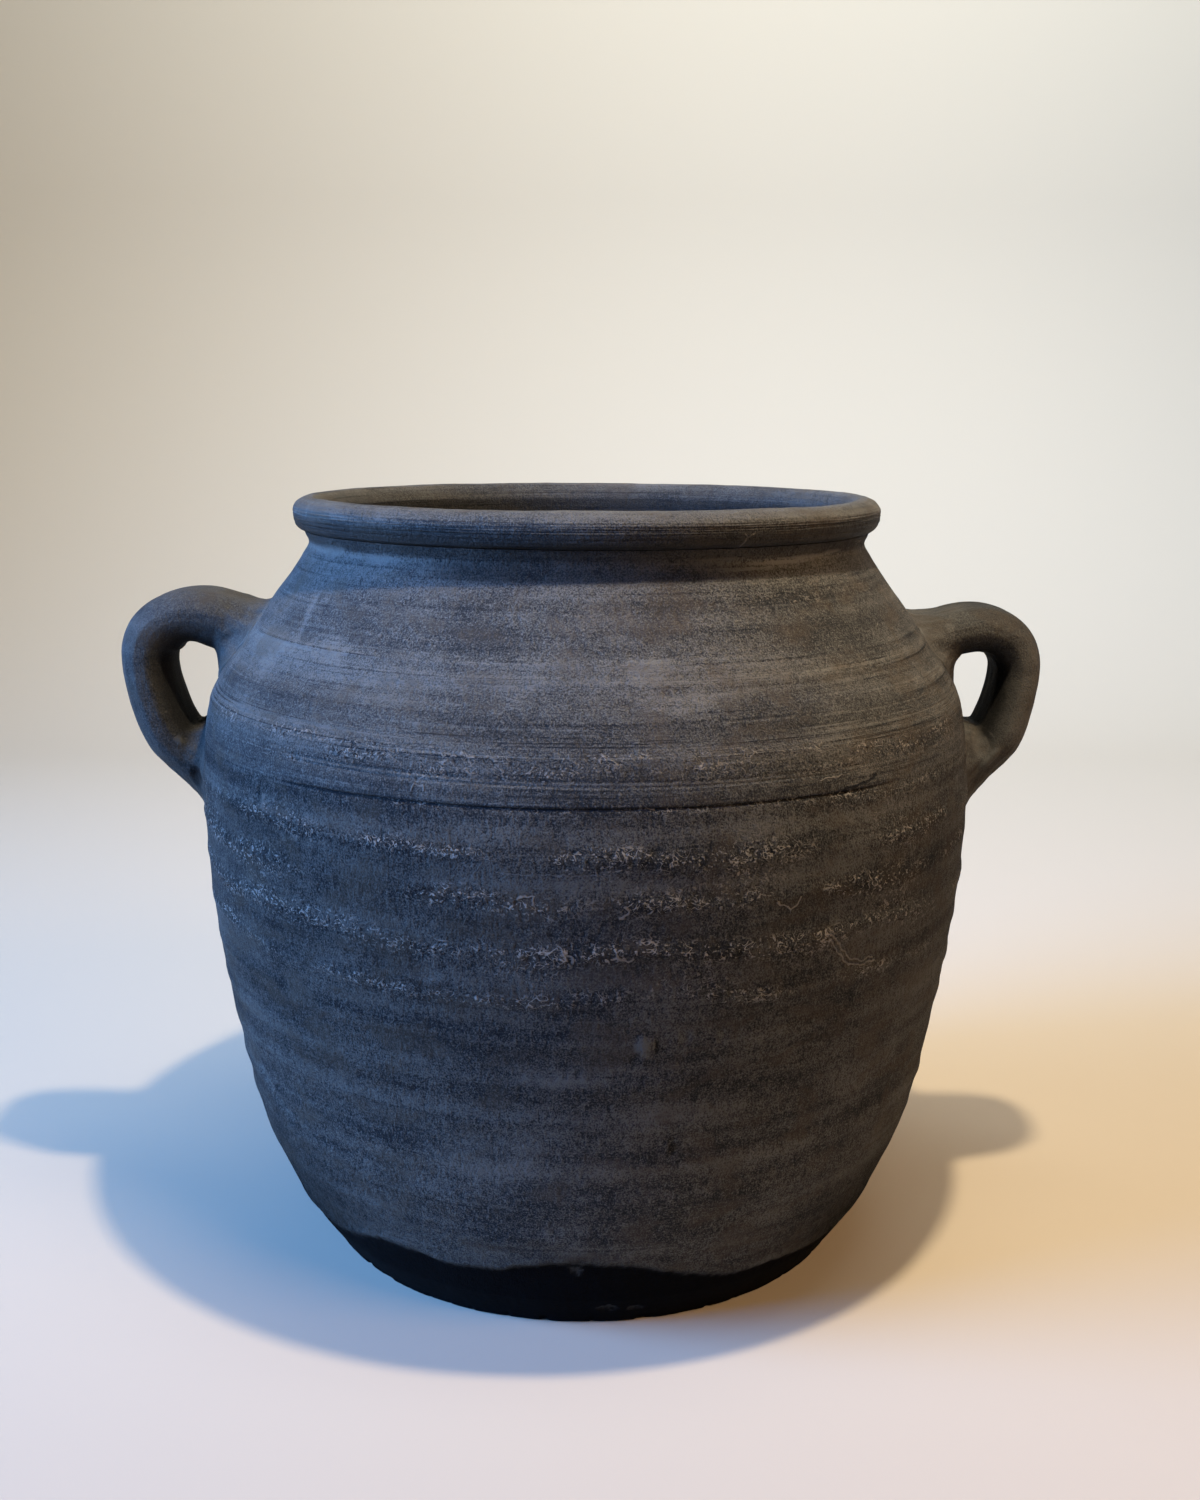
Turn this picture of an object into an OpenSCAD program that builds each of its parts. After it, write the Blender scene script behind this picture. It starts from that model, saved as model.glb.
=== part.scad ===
// Two handled storage jar of smoke blackened clay, thrown in sections on a wheel.
// A slab floor carries the lower wall. The shoulder section is set on it at the scored
// belly line, a neck collar and a rolled rim close the top, and each pulled strap handle
// is luted to the wall with a smeared pad of clay at either root.
// Millimetres, Z up, the foot rests on Z = 0 at the origin, and the handles lie along X.

/* [Heights] */
// Height of the scored belly line above the table
lower_h = 208; // [185:1:235]
// Height of the shoulder section, from the belly line to the neck
shoulder_h = 60; // [54:1:72]
// Height of the neck collar
neck_h = 19; // [16:1:24]
// Height of the rolled rim above the crease under it
rim_h = 13; // [11:0.5:17]
// How far the widest part of the belly lies below the belly line
belly_drop = 22; // [15:1:35]

/* [Diameters] */
// Outer diameter of the foot at the table
foot_d = 219; // [190:1:240]
// Largest outer diameter of the belly
belly_d = 309; // [285:1:335]
// Outer diameter of the neck at its narrowest
neck_d = 221; // [200:1:232]

/* [Clay thickness] */
// Thickness of the slab floor
floor_t = 14; // [10:0.5:18]
// Thickness of the thrown wall
wall_t = 9; // [7:0.5:11]
// Thickness of the neck at its narrowest
neck_t = 8.5; // [7:0.5:11]
// Radius of the curve inside, where the wall meets the floor
heel_r = 16; // [8:1:22]
// Radius of the worn lower edge of the foot
foot_edge = 2; // [1:0.5:4]

/* [Rim] */
// How far the rolled rim stands out beyond the neck at its narrowest
rim_out = 6; // [4:0.5:12]
// How far the crest of the rim lies inside the widest part of the roll
roll_w = 7; // [5:0.5:9]
// Height of the crest above the widest part of the roll
roll_h = 5.5; // [4:0.5:7]
// Height of the straight throat inside the rim, up to its fingered slope
lip_rise = 2; // [0.5:0.5:5]
// Height of the straight throat inside the neck, up to the joint with the rim
throat_h = 11; // [8:0.5:13]

/* [Wheel marks] */
// Spacing of the throwing rings outside
ring_pitch = 16.4; // [12:0.1:22]
// Height of the throwing rings outside
ring_h = 0.25; // [0.1:0.05:0.6]
// Spacing of the finger rings inside
finger_pitch = 14; // [11:0.5:20]
// Height of the finger rings inside
finger_h = 0.6; // [0.2:0.1:1]
// Width of a scored line
score_w = 1.6; // [1:0.1:2]
// Depth of a scored line
score_depth = 0.8; // [0.4:0.1:1.2]
// Height of the knife trimmed band round the foot
trim_h = 29; // [25:0.5:36]
// Depth of the ledge above the trimmed band
trim_depth = 0.7; // [0.3:0.1:1.2]

/* [Left handle] */
// Height of the upper root above the belly line
left_root_rise = 39.5; // [34:0.5:42]
// Height of the outermost bend above the belly line
left_bend_rise = 25; // [20:0.5:28]
// Distance of the lower root below the belly line
left_root_drop = 20; // [16:0.5:26]
// Centre of the outermost bend beyond the belly
left_reach = 24.3; // [21:0.1:30]
// Thickness of the strap at the outermost bend
left_strap_t = 20.5; // [16:0.5:23]
// Width of the strap at the outermost bend
left_strap_w = 36; // [28:0.5:42]
// Length of the upper pad along the wall
left_upper_l = 40; // [34:0.5:42]
// How far the upper pad is smeared down below the root
left_smear = 3.5; // [1:0.5:5]
// Length of the lower pad down the wall
left_lower_l = 38; // [36:0.5:48]

/* [Right handle] */
// Height of the upper root above the belly line
right_root_rise = 34.5; // [30:0.5:40]
// Height of the outermost bend above the belly line
right_bend_rise = 21; // [17:0.5:24]
// Distance of the lower root below the belly line
right_root_drop = 19; // [16:0.5:26]
// Centre of the outermost bend beyond the belly
right_reach = 20.6; // [19:0.1:27]
// Thickness of the strap at the outermost bend
right_strap_t = 19; // [16:0.5:22]
// Width of the strap at the outermost bend
right_strap_w = 35; // [28:0.5:42]
// Length of the upper pad along the wall
right_upper_l = 35; // [31:0.5:40]
// How far the upper pad is smeared down below the root
right_smear = 1; // [0:0.5:4]
// Length of the lower pad down the wall
right_lower_l = 35; // [32:0.5:44]

/* [Root pads] */
// Width of a pad round the wall
pad_w = 52; // [44:1:60]
// Length of the upper pad, from the wall to the strap
upper_stub = 13.3; // [12:0.1:16]
// Length of the lower pad, from the wall to the strap
lower_stub = 19; // [17:0.5:22]
// Rise of the strap as it leaves the upper pad, in degrees
upper_angle = 15; // [8:1:22]
// Rise of the lower pad away from the wall, in degrees
lower_angle = 47; // [40:1:52]

/* [Hidden] */
$fn = 120;

// Heights and radii that follow from the sizes above
neck_z = lower_h + shoulder_h;
crease_z = neck_z + neck_h;
jar_h = crease_z + rim_h;
belly_z = lower_h - belly_drop;
foot_r = foot_d / 2;
belly_r = belly_d / 2;
waist_r = neck_d / 2;
throat_r = waist_r - neck_t;
rim_r = waist_r + rim_out;
crest_r = rim_r - roll_w;

// The outline below the belly: share of the height, share of the spread from foot to belly
lower_shares = [
    [0, 0], [0.081, 0.227], [0.167, 0.396], [0.296, 0.606],
    [0.468, 0.759], [0.667, 0.902], [0.833, 0.978], [1, 1]
];
// The outline above it: share of the height to the waist, share of the draw in
upper_shares = [
    [0.228, 0.036], [0.321, 0.066], [0.394, 0.114], [0.466, 0.194], [0.56, 0.346],
    [0.674, 0.531], [0.788, 0.715], [0.891, 0.884], [0.943, 0.952], [1, 1]
];
// Where the narrowest part lies in the neck, and how far the crease stands out from it
waist_share = 0.77;
crease_share = 0.08;

waist_z = neck_z + waist_share * neck_h;
crease_r = waist_r + crease_share * neck_t;
outline = concat(
    [for (s = lower_shares) [s[0] * belly_z, foot_r + s[1] * (belly_r - foot_r)]],
    [for (s = upper_shares)
        [belly_z + s[0] * (waist_z - belly_z), belly_r - s[1] * (belly_r - waist_r)]],
    [[crease_z, crease_r]]
);

// A smooth curve through the outline that never swings past its points
function rise(p, i) = (p[i + 1][1] - p[i][1]) / (p[i + 1][0] - p[i][0]);
function mean_rise(a, b) = a * b <= 0 ? 0 : 2 * a * b / (a + b);
function tangent(p, i) =
    i == 0 ? rise(p, 0)
    : i == len(p) - 1 ? rise(p, i - 1)
    : mean_rise(rise(p, i - 1), rise(p, i));
function span(p, z, i = 0) = i >= len(p) - 2 || z < p[i + 1][0] ? i : span(p, z, i + 1);
function blend_r(p, z, i, h, t) =
    (1 + 2 * t) * pow(1 - t, 2) * p[i][1]
    + t * pow(1 - t, 2) * h * tangent(p, i)
    + t * t * (3 - 2 * t) * p[i + 1][1]
    - t * t * (1 - t) * h * tangent(p, i + 1);
function curve_r(p, z, i) =
    blend_r(p, z, i, p[i + 1][0] - p[i][0], (z - p[i][0]) / (p[i + 1][0] - p[i][0]));
function plain_r(z) = curve_r(outline, z, span(outline, z));

// Wheel marks: throwing rings, two scored lines at the belly and the ledge of the trimmed band
second_score_z = lower_h + 1.25 * score_w;
trim_edge = trim_depth;
function score(z, at) = score_depth * max(0, 1 - 2 * abs(z - at) / score_w);
function rings(z) = ring_h * cos(360 * (lower_h - z) / ring_pitch) * min(1, z / trim_h);
function ledge(z) = trim_depth * min(1, max(0, (trim_h - z) / trim_edge));
function outer_r(z) =
    plain_r(z) + rings(z) - ledge(z) - score(z, lower_h) - score(z, second_score_z);

// The inside follows the outside at the wall's thickness, measured square to the wall
slope_step = wall_t / 10;
function slope(z) = (plain_r(z + slope_step) - plain_r(z - slope_step)) / (2 * slope_step);
function finger(z) = finger_h * cos(360 * (lower_h - z) / finger_pitch);
function inner_r(z) = plain_r(z) - wall_t * sqrt(1 + pow(slope(z), 2)) + finger(z);

// Evenly spaced heights, both ends included
function steps(from, to, n) = [for (i = [0 : n]) from + (to - from) * i / n];
function outer_line(zs) = [for (z = zs) [outer_r(z), z]];
function inner_line(zs) = [for (i = [len(zs) - 1 : -1 : 0]) [inner_r(zs[i]), zs[i]]];

foot_zs = steps(foot_edge, floor_t, 4);
trim_zs = steps(floor_t, trim_h - trim_edge, 5);
lower_zs = concat(trim_zs, steps(trim_h, lower_h - score_w / 2, 64), [lower_h]);
score_zs = [
    lower_h, lower_h + score_w / 2, second_score_z - score_w / 2, second_score_z
];
shoulder_zs = concat(score_zs, steps(second_score_z + score_w / 2, neck_z, 22));
neck_zs = steps(neck_z, crease_z, 12);

// Slab floor, flat below, with a worn edge
module floor() {
    edge = [
        for (a = [0 : 15 : 90])
            [outer_r(foot_edge) - foot_edge * (1 - sin(a)), foot_edge * (1 - cos(a))]
    ];
    color("#2c2e33")
        rotate_extrude()
            polygon(concat([[0, 0]], edge, outer_line(foot_zs), [[0, floor_t]]));
}

// Lower thrown section, from the floor to the scored line, with a rounded heel inside
module lower_wall() {
    heel_z = floor_t + heel_r;
    heel = [
        for (a = [0 : 10 : 90])
            [inner_r(heel_z) - heel_r * (1 - cos(a)), heel_z - heel_r * sin(a)]
    ];
    color("#33363c")
        rotate_extrude()
            polygon(concat(
                outer_line(lower_zs), inner_line(steps(heel_z, lower_h, 48)), heel
            ));
}

// Upper thrown section, set on the lower one and drawn in to the neck
module shoulder() {
    color("#4a4744")
        rotate_extrude()
            polygon(concat(outer_line(shoulder_zs), inner_line(steps(lower_h, neck_z, 16))));
}

// Neck collar, with the straight throat inside
module neck() {
    color("#2f3540")
        rotate_extrude()
            polygon(concat(
                outer_line(neck_zs),
                [[throat_r, crease_z], [throat_r, crease_z - throat_h], [inner_r(neck_z), neck_z]]
            ));
}

// Rolled rim: an egg shaped roll outside, with fine turned lines, and a fingered slope inside
tuck_share = 0.24;
line_share = 1 / 18;
module rim() {
    widest_z = jar_h - roll_h;
    roll_drop = widest_z - crease_z;
    // Below its widest part the roll curves in through this angle until it meets the crease
    turn = acos(tuck_share);
    function bulge(a) = (cos(a) - tuck_share) / (1 - tuck_share);
    under = [
        for (i = [0 : 15])
            let (
                a = turn * (1 - i / 15),
                line = i > 8 && i < 15 ? line_share * roll_w * (i % 2) : 0
            )
            [
                crease_r + (rim_r - crease_r) * bulge(a) - line,
                widest_z - roll_drop * sin(a) / sin(turn)
            ]
    ];
    over = [
        for (a = [9 : 9 : 90]) [crest_r + roll_w * cos(a), widest_z + roll_h * sin(a)]
    ];
    lip_z = crease_z + lip_rise;
    inside = [
        for (a = [9 : 9 : 90])
            [throat_r + (crest_r - throat_r) * (1 - sin(a)), lip_z + (jar_h - lip_z) * cos(a)]
    ];
    color("#3b3a3c")
        rotate_extrude()
            polygon(concat(under, over, inside, [[throat_r, crease_z]]));
}

// Everything inside the outer face of the wall near the handles, which trims the pads to it
module wall_envelope() {
    zs = concat([for (z = lower_zs) if (z > lower_h / 2) z], shoulder_zs, neck_zs);
    rotate_extrude()
        polygon(concat([[0, zs[0]]], outer_line(zs), [[0, crease_z]]));
}

// A ring of a strap: an oval in the plane through its centre that is turned by angle.
// half_t reaches along the plane's own up direction, half_w along Y.
// bow bends it back round the wall, from 0 for flat to 1 for the wall's own curve.
ring_sides = 28;
oval_power_share = 0.86;
function soft(v) = sign(v) * pow(abs(v), oval_power_share);
function sag(r, across) = r - sqrt(r * r - across * across);
function ring(centre, angle, half_t, half_w, bow = 0) = [
    for (k = [0 : ring_sides - 1])
        let (
            a = 360 * k / ring_sides,
            up = half_t * soft(cos(a)),
            across = half_w * soft(sin(a))
        )
        [
            centre[0] - up * sin(angle) - bow * sag(centre[0], across), across,
            centre[1] + up * cos(angle)
        ]
];

// A closed skin over a list of rings
module loft(rings) {
    n = ring_sides;
    last = len(rings) - 1;
    sides = [
        for (j = [0 : last - 1], k = [0 : n - 1])
            let (a = j * n + k, b = j * n + (k + 1) % n)
            each [[a, a + n, b + n], [a, b + n, b]]
    ];
    ends = [[for (k = [0 : n - 1]) k], [for (k = [n - 1 : -1 : 0]) last * n + k]];
    polyhedron(points = [for (r = rings) each r], faces = concat(sides, ends), convexity = 6);
}

// The sizes of a handle are kept together in one list, and read from it by name
left_sizes = [
    left_root_rise, left_bend_rise, left_root_drop, left_reach, left_strap_t, left_strap_w,
    left_upper_l, left_lower_l, left_smear
];
right_sizes = [
    right_root_rise, right_bend_rise, right_root_drop, right_reach, right_strap_t,
    right_strap_w, right_upper_l, right_lower_l, right_smear
];
function upper_root_z(h) = lower_h + h[0];
function bend_z(h) = lower_h + h[1];
function lower_root_z(h) = lower_h - h[2];
function reach(h) = h[3];
function half_t(h) = h[4] / 2;
function half_w(h) = h[5] / 2;
function upper_half_l(h) = h[6] / 2;
function lower_half_l(h) = h[7] / 2;
function smear(h) = h[8];

// Where a handle starts and ends: the roots on the wall and the joints of strap and pad
function root_point(z) = [plain_r(z), z];
function along(p, angle, d) = [p[0] + d * cos(angle), p[1] + d * sin(angle)];
function upper_joint(h) = along(root_point(upper_root_z(h)), upper_angle, upper_stub);
function lower_joint(h) = along(root_point(lower_root_z(h)), lower_angle, lower_stub);
function bend(h) = [belly_r + reach(h), bend_z(h)];

// Strap sizes at its two joints and at the bend, as shares of the size at the bend
upper_t_share = 1.02;
lower_t_share = 0.96;
upper_w_share = 1.06;
lower_w_share = 1.12;
// How far the strap runs straight on before it bends, as shares of the way to the bend
upper_arm_share = 0.55;
crown_share = 0.8;
drop_share = 0.38;
lower_arm_share = 0.6;

function bezier(p, t) =
    pow(1 - t, 3) * p[0] + 3 * t * pow(1 - t, 2) * p[1]
    + 3 * t * t * (1 - t) * p[2] + pow(t, 3) * p[3];
function heading(p, t) =
    let (
        d = pow(1 - t, 2) * (p[1] - p[0]) + 2 * t * (1 - t) * (p[2] - p[1])
            + t * t * (p[3] - p[2])
    )
    atan2(d[1], d[0]);
function ease(t) = t * t * (3 - 2 * t);
function mix(a, b, t) = a + (b - a) * ease(t);

// Two curves make a strap: from the upper joint to the bend, and from there to the lower joint
function upper_curve(h) =
    let (j = upper_joint(h), b = bend(h))
    [
        j, along(j, upper_angle, upper_arm_share * (b[0] - j[0])),
        [b[0], b[1] + crown_share * (j[1] - b[1])], b
    ];
function lower_curve(h) =
    let (j = lower_joint(h), b = bend(h))
    [
        b, [b[0], b[1] - drop_share * (b[1] - j[1])],
        along(j, lower_angle, lower_arm_share * (b[0] - j[0])), j
    ];
upper_rings = 14;
lower_rings = 12;
function strap_rings(h) = concat(
    [
        for (i = [0 : upper_rings])
            let (t = i / upper_rings, c = upper_curve(h))
            ring(
                bezier(c, t), heading(c, t),
                mix(upper_t_share, 1, t) * half_t(h), mix(upper_w_share, 1, t) * half_w(h)
            )
    ],
    [
        for (i = [1 : lower_rings])
            let (t = i / lower_rings, c = lower_curve(h))
            ring(
                bezier(c, t), heading(c, t),
                mix(1, lower_t_share, t) * half_t(h), mix(1, lower_w_share, t) * half_w(h)
            )
    ]
);

// A pad starts as the strap's own end ring and flares until it lies along the wall
pad_rings = 8;
flare_power_share = 1.7;
// Its last ring is sunk this deep, and the wall's own face then trims it
pad_sink = wall_t / 2;
function wall_angle(z) = -atan(slope(z));
function pad_ring(from, to, half_l, t) =
    let (flare = pow(t, flare_power_share))
    ring(
        [from[0] + (to[0] - from[0]) * t, from[1] + (to[1] - from[1]) * t],
        from[2] + (to[2] - from[2]) * t,
        from[3] + (half_l - from[3]) * flare, from[4] + (pad_w / 2 - from[4]) * flare, t
    );
// from holds the strap's end: its place, its angle and its half sizes
function pad_loft(from, z, half_l) =
    let (
        root = root_point(z),
        tilt = wall_angle(z),
        sunk = along(root, tilt, -pad_sink)
    )
    concat(
        [
            for (i = [0 : pad_rings])
                pad_ring(from, [root[0], root[1], tilt], half_l, i / pad_rings)
        ],
        [pad_ring(from, [sunk[0], sunk[1], tilt], half_l, 1)]
    );

module upper_pad(h) {
    j = upper_joint(h);
    from = [j[0], j[1], upper_angle, upper_t_share * half_t(h), upper_w_share * half_w(h)];
    difference() {
        loft(pad_loft(from, upper_root_z(h) - smear(h), upper_half_l(h)));
        wall_envelope();
    }
}

module lower_pad(h) {
    j = lower_joint(h);
    from = [j[0], j[1], lower_angle, lower_t_share * half_t(h), lower_w_share * half_w(h)];
    difference() {
        loft(pad_loft(from, lower_root_z(h), lower_half_l(h)));
        wall_envelope();
    }
}

module left_handle() {
    color("#33373f") rotate(180) loft(strap_rings(left_sizes));
}
module left_upper_pad() {
    color("#3d4048") rotate(180) upper_pad(left_sizes);
}
module left_lower_pad() {
    color("#3d4048") rotate(180) lower_pad(left_sizes);
}
module right_handle() {
    color("#37332f") loft(strap_rings(right_sizes));
}
module right_upper_pad() {
    color("#4a4238") upper_pad(right_sizes);
}
module right_lower_pad() {
    color("#5a5046") lower_pad(right_sizes);
}

floor();
lower_wall();
shoulder();
neck();
rim();
left_handle();
left_upper_pad();
left_lower_pad();
right_handle();
right_upper_pad();
right_lower_pad();
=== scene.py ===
# The visual model of the two handled pottery jar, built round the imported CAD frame.
# Each CAD node is replaced by one closed mesh: five thrown sections, two straps and four pads.
# A place on the wall is (angle, height): the angle is in degrees from the front, growing
# towards +X, and the height is in millimetres above the table.
import math

import bpy
import numpy as np
from mathutils import Matrix, Vector


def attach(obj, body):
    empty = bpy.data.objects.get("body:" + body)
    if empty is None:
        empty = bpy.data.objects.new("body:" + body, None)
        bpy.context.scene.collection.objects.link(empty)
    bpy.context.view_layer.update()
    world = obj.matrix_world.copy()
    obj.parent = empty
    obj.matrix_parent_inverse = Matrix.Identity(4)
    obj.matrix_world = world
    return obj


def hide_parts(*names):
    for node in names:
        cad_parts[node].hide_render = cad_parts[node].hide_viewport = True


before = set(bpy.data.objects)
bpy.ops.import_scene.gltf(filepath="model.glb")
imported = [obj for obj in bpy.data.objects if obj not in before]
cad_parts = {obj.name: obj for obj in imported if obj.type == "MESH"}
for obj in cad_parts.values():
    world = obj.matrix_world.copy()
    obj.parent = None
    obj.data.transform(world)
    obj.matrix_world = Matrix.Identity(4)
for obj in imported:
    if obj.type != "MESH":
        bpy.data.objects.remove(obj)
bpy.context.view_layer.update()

MM = 0.001
TAU = 2 * math.pi

# Sizes, the same as in the part's source
LOWER_H, SHOULDER_H, NECK_H, RIM_H = 208.0, 60.0, 19.0, 13.0
FOOT_R, BELLY_R, WAIST_R = 109.5, 154.5, 110.5
BELLY_Z = LOWER_H - 22.0
NECK_Z = LOWER_H + SHOULDER_H
CREASE_Z = NECK_Z + NECK_H
TOP_Z = CREASE_Z + RIM_H
WAIST_Z = NECK_Z + 0.77 * NECK_H
NECK_T, WALL_T, FLOOR_T = 8.5, 9.0, 14.0
CREASE_R = WAIST_R + 2.0
THROAT_R = WAIST_R - NECK_T
THROAT_LOW_Z = CREASE_Z - 11.0
RIM_R = WAIST_R + 6.0
CREST_R = RIM_R - 7.0
WIDEST_Z = TOP_Z - 5.5
LIP_Z = CREASE_Z + 2.0
HEEL_R = 16.0
FOOT_EDGE = 2.0
TUCK = math.acos(0.24)

LOWER_SHARES = [
    (0, 0), (0.081, 0.227), (0.167, 0.396), (0.296, 0.606),
    (0.468, 0.759), (0.667, 0.902), (0.833, 0.978), (1, 1),
]
UPPER_SHARES = [
    (0.228, 0.036), (0.321, 0.066), (0.394, 0.114), (0.466, 0.194), (0.56, 0.346),
    (0.674, 0.529), (0.788, 0.706), (0.891, 0.864), (0.943, 0.938), (1, 1),
]
OUTLINE = np.array(
    [(s * BELLY_Z, FOOT_R + t * (BELLY_R - FOOT_R)) for s, t in LOWER_SHARES]
    + [
        (BELLY_Z + s * (WAIST_Z - BELLY_Z), BELLY_R - t * (BELLY_R - WAIST_R))
        for s, t in UPPER_SHARES
    ]
    + [(CREASE_Z, CREASE_R)]
)


def smooth_curve(knots):
    """A curve through the knots that never swings past them, as in the part's source."""
    x, y = np.asarray(knots, float).T
    rise = np.diff(y) / np.diff(x)
    a, b = rise[:-1], rise[1:]
    mean = np.where(a * b <= 0, 0, 2 * a * b / np.where(a + b == 0, 1, a + b))
    tangent = np.concatenate([rise[:1], mean, rise[-1:]])

    def value(at):
        at = np.asarray(at, float)
        i = np.clip(np.searchsorted(x, at, "right") - 1, 0, len(x) - 2)
        h = x[i + 1] - x[i]
        t = (at - x[i]) / h
        return (
            (1 + 2 * t) * (1 - t) ** 2 * y[i]
            + t * (1 - t) ** 2 * h * tangent[i]
            + t * t * (3 - 2 * t) * y[i + 1]
            - t * t * (1 - t) * h * tangent[i + 1]
        )

    return value


plain_r = smooth_curve(OUTLINE)


def slope(z):
    return (plain_r(z + 1) - plain_r(z - 1)) / 2


# ---- seeded noise ----
def noise(x, y, z, seed=0):
    """Smooth gradient noise from about -1 to 1, the same on every run."""
    cell = [np.floor(v).astype(np.int64) for v in np.broadcast_arrays(x, y, z)]
    part = [v - c for v, c in zip(np.broadcast_arrays(x, y, z), cell)]
    fade = [p * p * p * (p * (p * 6 - 15) + 10) for p in part]
    total = 0
    for corner in range(8):
        bits = [corner & 1, corner >> 1 & 1, corner >> 2 & 1]
        h = (cell[0] + bits[0]) * 374761393 + (cell[1] + bits[1]) * 668265263
        h = (h + (cell[2] + bits[2]) * 2246822519 + seed * 3266489917) & 0xFFFFFFFF
        h = ((h ^ (h >> 15)) * 2654435761) & 0xFFFFFFFF
        h = ((h ^ (h >> 13)) * 1274126177) & 0xFFFFFFFF
        angle = (h & 0xFFFF) * (TAU / 65536)
        up = ((h >> 16) & 0xFFFF) / 32768 - 1
        flat = np.sqrt(np.maximum(0, 1 - up * up))
        d = [p - b for p, b in zip(part, bits)]
        dot = d[0] * flat * np.cos(angle) + d[1] * flat * np.sin(angle) + d[2] * up
        weight = 1
        for f, b in zip(fade, bits):
            weight = weight * (f if b else 1 - f)
        total = total + weight * dot
    return total * 1.6


def ramp(v, low, high):
    """0 below low and 1 above high, smooth between."""
    t = np.clip((v - low) / (high - low), 0, 1)
    return t * t * (3 - 2 * t)


def hump(v, width):
    return np.exp(-((v / width) ** 2))


# ---- marks on the outside of the wall ----
RING_Z, RING_PITCH = 191.3, 16.2
SCORE_Z = 207.7

# The ragged upper edge of the trimmed band round the foot
band_edge = smooth_curve([
    (-180, 25), (-140, 22), (-100, 26), (-75, 21), (-51, 23), (-33, 31), (-23, 28.5),
    (-14, 30), (-4, 35.5), (5, 34), (16, 27.5), (27, 21), (37, 20), (48, 19), (80, 24),
    (120, 20), (150, 27), (180, 25),
])

# Dents and chips: angle, height, half width, half height, depth, paleness
DENTS = [
    (-48.4, 200.6, 1.5, 2.8, 0.8, -0.4),
    (-47.2, 198.6, 1, 2.8, -0.3, 1.4),
    # The pellet at 7.6 degrees is painted paler, partly as a painted highlight, and the dark mark at 9.1
    # degrees beside it is its painted shadow
    (7.6, 125.6, 3.2, 3.6, -0.6, 1),
    (9.1, 125.4, 0.9, 2.6, 0.3, -0.9),
    (6.6, 122.6, 1.8, 0.8, 0.4, -0.6),
    (12.7, 128, 2.2, 1.1, 0.5, 0.6),
    (17.8, 127.9, 1.6, 1, 0.4, 0.5),
    (12.1, 86.4, 2.4, 1.5, 1.6, -0.9),
    (11, 86.9, 1, 1.2, 1.2, -0.8),
    (-17.6, 108.9, 1.8, 1.2, 1, -0.7),
    (51.7, 101.7, 0.6, 2.2, 0.3, 0.8),
    (-20.2, 149, 5.5, 3, 0.25, 0.35),
    (4.4, 9.4, 3.6, 1.9, 0.9, 0.6),
    (9.6, 8.2, 3, 1.6, 0.8, 0.5),
    (-1.5, 31, 2.4, 2.2, 0.4, 0.5),
    (-55, 283.6, 4, 2.3, 0.5, 0.8),
    (-58.7, 166.9, 1.2, 0.9, 0.6, -0.5),
    (73, 246.8, 0.5, 0.5, -0.3, 1.6),
    (121, 166, 3, 2, 0.9, 0.3),
    (163, 96, 2.6, 3.4, 0.8, 0.2),
    (-139, 141, 4, 1.8, 0.7, 0.3),
    (-112, 66, 2, 3, 0.9, -0.4),
    (96, 54, 3.5, 2, 0.6, 0.4),
]

# Scratches and gouges wide enough for the mesh: places, width, depth and paleness
STROKES = [
    ([(-81, 262), (-79, 257.5), (-76.9, 253), (-74.4, 241), (-70.9, 231.5)], 1.1, -0.5, 0.35),
    ([(76, 262), (74.2, 254), (72.9, 246.5), (71.4, 228.5)], 0.9, -0.4, 0.2),
    ([(-61.6, 85.5), (-59.2, 82), (-56.8, 78.9), (-54.6, 75.2), (-52.4, 72.6)], 2.2, 1.4, 0.55),
    ([(-58.2, 83.4), (-55.6, 79.6), (-53.6, 74.6)], 0.9, 1, -0.8),
    ([(-54.6, 266), (-53.8, 259), (-52.4, 250.5)], 1.7, 0.3, 0.5),
    ([(138, 122), (143, 117), (150, 115)], 1, 0.5, 0.4),
    ([(-98, 118), (-94, 124), (-88, 126.5)], 1, 0.4, 0.4),
]

# Hair-thin marks drawn by the material: half width, lift, paleness and their lines
FINE_MARKS = {
    "body_clay": [
        (0.55, 0.5, 0.6, [
            [(3.6, 161.2), (4.1, 158), (5.2, 156.9), (5.8, 158.2)],
            [(-3.5, 162.9), (-2.9, 160.2), (-1.5, 157.1)],
            [(-8.2, 177.9), (-7.2, 179.3), (-6.3, 178.8), (-6.3, 176.7)],
            [(4.8, 175.5), (5.2, 173.1), (4.1, 171.5)],
            [(24.4, 173.4), (25.3, 171.7), (26.4, 169.5), (27.9, 173.8)],
        ]),
        (0.5, -0.6, 0.4, [
            [(32.2, 158.8), (34.4, 151.9), (36, 146.5), (38.6, 143.9), (41.5, 144.6)],
            [(33, 158.8), (34.6, 153.9), (36.7, 147.6), (38.9, 145.6), (41, 146)],
        ]),
        (0.4, -0.3, 0.18, [[(-10.9, 186.8), (2.9, 186.4)]]),
    ],
    "shoulder_clay": [
        (0.5, 0.4, 0.4, [[(-21.9, 211.2), (-21.7, 213.7), (-20.6, 213.9), (-20.2, 211.6)]]),
        (0.5, 0.4, 0.5, [[(30.9, 212.4), (31.8, 213.6), (33.4, 212.6), (34.2, 214)]]),
        # The scored line's tail: its dark is painted shade in the groove
        (0.7, -0.7, -0.8, [[(33.5, 207.9), (36.8, 208.7), (40.2, 210.9)]]),
    ],
    "rim_clay": [
        (0.55, -0.4, 0.25, [
            [(27.6, 292.6), (28.2, 290.6), (27.4, 287.4)],
            [(29.4, 292.4), (28.4, 290.4)],
        ]),
    ],
}

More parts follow.
